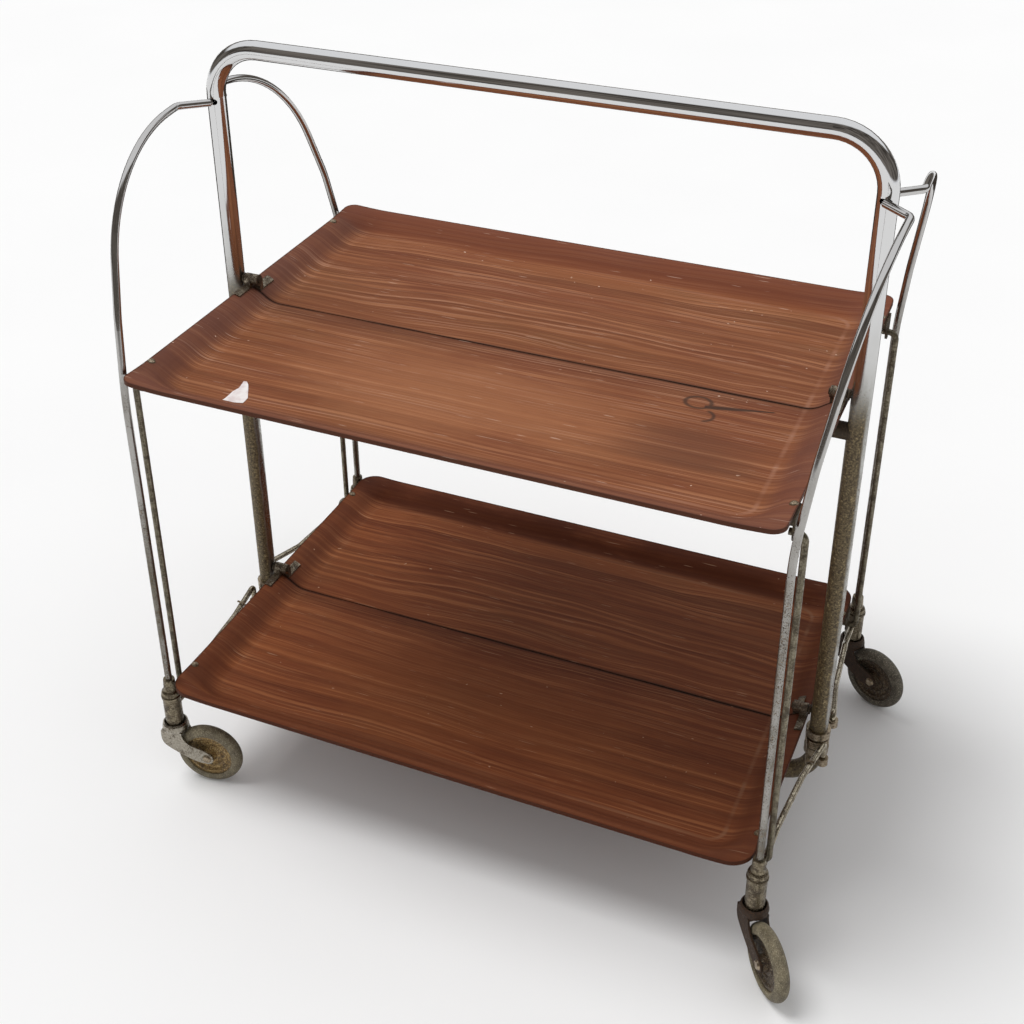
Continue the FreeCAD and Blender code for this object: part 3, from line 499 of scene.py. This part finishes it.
def stained_metal(name, groove, middle, ridge, speck, glint):
    """Dull pressed metal with dark grooves, brown specks and small glints."""
    material, tree, shader = new_material(name)
    place = tree.place()
    cloud = tree.noise(place, scale=180.0, detail=4.0, rough=0.65)
    fine = tree.noise(place, scale=800.0, detail=3.0, rough=0.75)
    colour = tree.ramp(cloud, [(0.34, groove), (0.50, middle), (0.66, ridge)])
    colour = tree.mix(tree.smooth(fine, 0.52, 0.62, 0.0, 0.85), colour, speck)
    colour = tree.mix(tree.smooth(fine, 0.45, 0.36, 0.0, 0.85), colour, glint)
    metallic = tree.math("MULTIPLY_ADD", tree.smooth(cloud, 0.40, 0.62), 0.55, 0.20)
    roughness = tree.math("MULTIPLY_ADD", fine, 0.30, 0.34)
    connect(tree, shader, Base_Color=colour, Metallic=metallic, Roughness=roughness,
            Normal=tree.bump(tree.math("ADD", cloud, fine), distance=0.35 * MM, strength=0.7))
    return material


def old_rubber(name, base, light):
    """Grey olive rubber with pale dust and dark scuffs."""
    material, tree, shader = new_material(name)
    place = tree.place()
    cloud = tree.noise(place, scale=120.0, detail=4.0, rough=0.6)
    fine = tree.noise(place, scale=1000.0, detail=3.0, rough=0.7)
    colour = tree.mix(tree.smooth(cloud, 0.36, 0.66), base, light)
    colour = tree.mix(tree.smooth(fine, 0.56, 0.66, 0.0, 0.80), colour, srgb(190, 180, 154))
    colour = tree.mix(tree.smooth(fine, 0.45, 0.36, 0.0, 0.75), colour, srgb(48, 41, 31))
    connect(tree, shader, Base_Color=colour, Roughness=tree.math("MULTIPLY_ADD", cloud, 0.25, 0.55),
            Normal=tree.bump(tree.math("ADD", cloud, fine), distance=0.30 * MM, strength=0.6))
    return material


# ---------------------------------------------------------------- materials on the CAD nodes

def paint(node, material):
    mesh = NODES[node].data
    mesh.materials.clear()
    mesh.materials.append(material)


def paint_all():
    upper_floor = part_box("leaf_upper_front")[0].z + PLY
    lower_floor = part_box("leaf_lower_front")[0].z + PLY
    upper_wood = wood("wood_upper", upper_floor, WOOD_UPPER, WAVE_UPPER, UPPER_CORNER)
    lower_wood = wood("wood_lower", lower_floor, WOOD_LOWER, WAVE_LOWER, LOWER_CORNER)
    tube = rusted_tube()
    wire = chrome("chrome_wire", age_low=0.34, age_high=0.66, film_and_reflection_colour=srgb(90, 83, 66), pit_share=0.25,
                  tint=(0.54, 0.53, 0.52, 1.0), rough=0.08)[0]
    steel = {name: worn_steel(name, *look) for name, look in STEELS.items()}
    brass = stained_metal("stained_brass", groove=srgb(80, 62, 38), middle=srgb(136, 108, 64),
                          ridge=srgb(168, 142, 96), speck=srgb(60, 42, 24), glint=srgb(212, 188, 136))
    rusty_disc = stained_metal("rusty_disc", groove=srgb(46, 36, 28), middle=srgb(80, 64, 48),
                               ridge=srgb(108, 92, 72), speck=srgb(40, 29, 20), glint=srgb(158, 146, 122))
    rubber = old_rubber("old_rubber", base=srgb(102, 92, 72), light=srgb(132, 122, 98))
    dark_rubber = old_rubber("dark_rubber", base=srgb(72, 66, 55), light=srgb(98, 91, 78))

    paint("frame_loop", tube)
    paint("crossbar", steel["dirty_steel"])
    for tray, veneered in (("upper", upper_wood), ("lower", lower_wood)):
        paint(f"hinge_pins_{tray}", steel["dirty_steel"])
        for row in ROWS:
            paint(f"leaf_{tray}_{row}", veneered)
            paint(f"hinge_straps_{tray}_{row}", steel["hinge_steel"])
            paint(f"tie_ears_{tray}_{row}", steel["dirty_steel"])
            paint(f"tie_rivets_{tray}_{row}", steel["rivet_steel"])
    for side in SIDES:
        paint(f"spring_{side}", steel["rivet_steel"])
        for row in ROWS:
            corner = f"{row}_{side}"
            cleanest = corner == "front_left"
            paint(f"leg_{corner}", wire)
            paint(f"tie_rod_{corner}", steel["pitted_rod"])
            paint(f"socket_{corner}", steel["socket_steel"])
            paint(f"collar_{corner}", steel["rivet_steel"])
            paint(f"arm_{corner}", steel["bright_rod"])
            paint(f"fork_{corner}", steel["fork_steel" if cleanest else "rusty_fork_steel"])
            paint(f"axle_{corner}", steel["rivet_steel"])
            paint(f"wheel_disc_{corner}", brass if cleanest else rusty_disc)
            paint(f"tyre_{corner}", rubber if row == "front" else dark_rubber)


# ---------------------------------------------------------------- paper scrap

SCRAP_OUTLINE = ((-212.7, -185.4), (-213.3, -167.8), (-211.4, -159.9), (-213.9, -148.1), (-210.8, -147.6),
                 (-206.4, -152.3), (-194.6, -172.5), (-193.6, -182.5), (-201.1, -185.7))      # millimetres
SCRAP_DROPS_FROM = 1.0                                              # metres, above the trays
SCRAP_LIFT, SCRAP_THICK = 0.25 * MM, 0.18 * MM


def paper_material():
    material, tree, shader = new_material("torn_paper")
    place = tree.place()
    fibre = tree.noise(place, scale=900.0, detail=3.0)
    cloud = tree.noise(place, scale=120.0, detail=3.0)
    colour = tree.mix(tree.smooth(cloud, 0.40, 0.70), srgb(240, 234, 232), srgb(222, 208, 206))
    connect(tree, shader, Base_Color=colour, Roughness=tree.math("MULTIPLY_ADD", fibre, 0.1, 0.75),
            Normal=tree.bump(fibre, distance=0.1 * MM, strength=0.5))
    return material


def paper_scrap():
    """A torn blank scrap of paper that sticks to the front leaf and follows its floor."""
    leaf = NODES["leaf_upper_front"]
    built = bmesh.new()
    ring = [built.verts.new((x * MM, y * MM, SCRAP_DROPS_FROM)) for x, y in SCRAP_OUTLINE]
    built.faces.new(ring)
    bmesh.ops.subdivide_edges(built, edges=built.edges, cuts=3, use_grid_fill=True)
    bmesh.ops.triangulate(built, faces=built.faces)
    bmesh.ops.subdivide_edges(built, edges=built.edges, cuts=1)
    for vert in built.verts:
        found, point, normal, _ = leaf.ray_cast(vert.co, Vector((0, 0, -1)))
        if found:
            vert.co = point + normal * SCRAP_LIFT
    bmesh.ops.recalc_face_normals(built, faces=built.faces)
    scrap = object_from(built, "paper_scrap", paper_material())
    thick = scrap.modifiers.new("thick", "SOLIDIFY")
    thick.thickness, thick.offset = SCRAP_THICK, 0.0
    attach(scrap, "upper_front_leaf")


# ---------------------------------------------------------------- floor and light

FLOOR_SEEN, FLOOR_BOUNCE, FLOOR_REACH = (grey(0.950), grey(0.960)), grey(0.62), 30
DOME_RADIUS, DOME_SEGMENTS, DOME_RINGS = 5.0, 64, 32
DOME_FRONT = Vector((0.385, -0.923, 0.0))
BAND_LOW, BAND_HIGH, BAND_HIGH_FRONT = 0.05, 0.48, 0.97             # heights on a dome of radius 1
BAND_SHADES, DOME_WHITE = ((0.050, 0.044, 0.038, 1), (0.20, 0.18, 0.16, 1)), (0.95, 0.96, 0.98, 1)
FLAG_NEAR, FLAG_FAR, FLAG_HEIGHT = 0.75, 2.8, 0.002                 # metres
FLAG_MIDDLE, FLAG_SPREAD, FLAG_STEPS = 113.6, 62.0, 16              # degrees, degrees and number
FLAG_SHADES = ((0.03, 0.025, 0.02, 1), (0.07, 0.06, 0.05, 1))
WORLD_LEVEL, BACKDROP_LEVEL = 0.55, 0.955                           # what lights, and what is seen
SUN_LEVEL, SUN_SPREAD = 1.62, 30.0
SUN_FROM = Vector((-0.43, -0.08, 1.0))


def object_from(built, name, material):
    """An object made of a bmesh, which is freed."""
    mesh = bpy.data.meshes.new(name)
    built.to_mesh(mesh)
    built.free()
    mesh.materials.append(material)
    obj = bpy.data.objects.new(name, mesh)
    bpy.context.scene.collection.objects.link(obj)
    return obj


def stage_mesh(name, corners, material):
    built = bmesh.new()
    built.faces.new([built.verts.new(corner) for corner in corners])
    obj = object_from(built, name, material)
    return obj


def only_gloss(obj):
    obj.visible_camera = obj.visible_diffuse = obj.visible_shadow = obj.visible_transmission = False


def stage_is_seen(tree):
    """1 for a ray of the camera, of gloss or of glass, which sees the stage instead of being lit by it."""
    path = tree.add("LightPath")
    seen = tree.math("MAXIMUM", path["Is Camera Ray"], path["Is Glossy Ray"])
    return tree.math("MAXIMUM", seen, path["Is Transmission Ray"])


def floor():
    """A pale floor: the camera and the gloss see it white, with the trolley's shadow on it."""
    material, tree, shader = new_material("floor")
    grain = tree.noise(tree.place(), scale=3.0, detail=2.0)
    pale = tree.mix(tree.smooth(grain, 0.3, 0.7), *FLOOR_SEEN)
    connect(tree, shader, Base_Color=tree.mix(stage_is_seen(tree), FLOOR_BOUNCE, pale), Roughness=1.0,
            Specular_IOR_Level=0.0)
    corners = [(x * FLOOR_REACH, y * FLOOR_REACH, 0) for x, y in ((-1, -1), (1, -1), (1, 1), (-1, 1))]
    stage_mesh("floor", corners, material)


def dome_material():
    """White, with a dark band of soft folds all round, which rises high in front."""
    material, tree, shader = new_material("dome")
    material.node_tree.nodes.remove(shader)
    way = tree.add("VectorMath", {0: tree.place()}, operation="NORMALIZE")["Vector"]
    up = tree.part(way, "Z")
    front = tree.add("VectorMath", {0: way, 1: DOME_FRONT}, operation="DOT_PRODUCT")["Value"]
    folds = tree.noise(tree.scaled(way, (7.0, 7.0, 1.6)), detail=3.0)
    top = tree.smooth(front, -0.20, 0.35, BAND_HIGH, BAND_HIGH_FRONT)
    above = tree.smooth(tree.math("SUBTRACT", up, top), -0.07, 0.05)
    level = tree.math("MAXIMUM", above, tree.smooth(up, BAND_LOW + 0.04, BAND_LOW - 0.03))
    shade = tree.mix(tree.smooth(folds, 0.35, 0.65), *BAND_SHADES)
    glow = tree.add("Emission", {"Color": tree.mix(level, shade, DOME_WHITE), "Strength": 1.0})[0]
    material.node_tree.links.new(glow, material.node_tree.nodes["Material Output"].inputs["Surface"])
    return material


def dome():
    """Studio dome that only polished metal sees."""
    built = bmesh.new()
    bmesh.ops.create_uvsphere(built, u_segments=DOME_SEGMENTS, v_segments=DOME_RINGS, radius=DOME_RADIUS)
    below = [vert for vert in built.verts if vert.co.z < -MM]
    bmesh.ops.delete(built, geom=below, context="VERTS")
    obj = object_from(built, "dome", dome_material())
    only_gloss(obj)


def floor_flag():
    """A dark card lying behind the trolley, which only shows as the dark edges of polished metal."""
    material, tree, shader = new_material("flag")
    folds = tree.noise(tree.place(), scale=2.0, detail=2.0)
    connect(tree, shader, Base_Color=tree.mix(folds, *FLAG_SHADES), Roughness=1.0, Specular_IOR_Level=0.0)
    angles = [math.radians(FLAG_MIDDLE - FLAG_SPREAD + 2 * FLAG_SPREAD * step / FLAG_STEPS)
              for step in range(FLAG_STEPS + 1)]
    near, far = ([(radius * math.cos(angle), radius * math.sin(angle), FLAG_HEIGHT) for angle in angles]
                 for radius in (FLAG_NEAR, FLAG_FAR))
    only_gloss(stage_mesh("flag", near + far[::-1], material))


def lights():
    world = bpy.data.worlds.new("studio")
    bpy.context.scene.world = world
    world.use_nodes = True
    tree = Tree(world.node_tree)
    background = world.node_tree.nodes["Background"]
    level = tree.math("MULTIPLY_ADD", stage_is_seen(tree), BACKDROP_LEVEL - WORLD_LEVEL, WORLD_LEVEL)
    world.node_tree.links.new(level, background.inputs["Strength"])
    background.inputs["Color"].default_value = grey(1)
    sun = bpy.data.lights.new("sun", "SUN")
    sun.energy, sun.angle = SUN_LEVEL, math.radians(SUN_SPREAD)
    lamp = bpy.data.objects.new("sun", sun)
    lamp.rotation_mode = "QUATERNION"
    lamp.rotation_quaternion = SUN_FROM.to_track_quat("Z", "Y")
    lamp.visible_glossy = False
    bpy.context.scene.collection.objects.link(lamp)


place_camera()
paint_all()
paper_scrap()
floor()
dome()
floor_flag()
lights()
bpy.context.scene.view_settings.view_transform = "Standard"
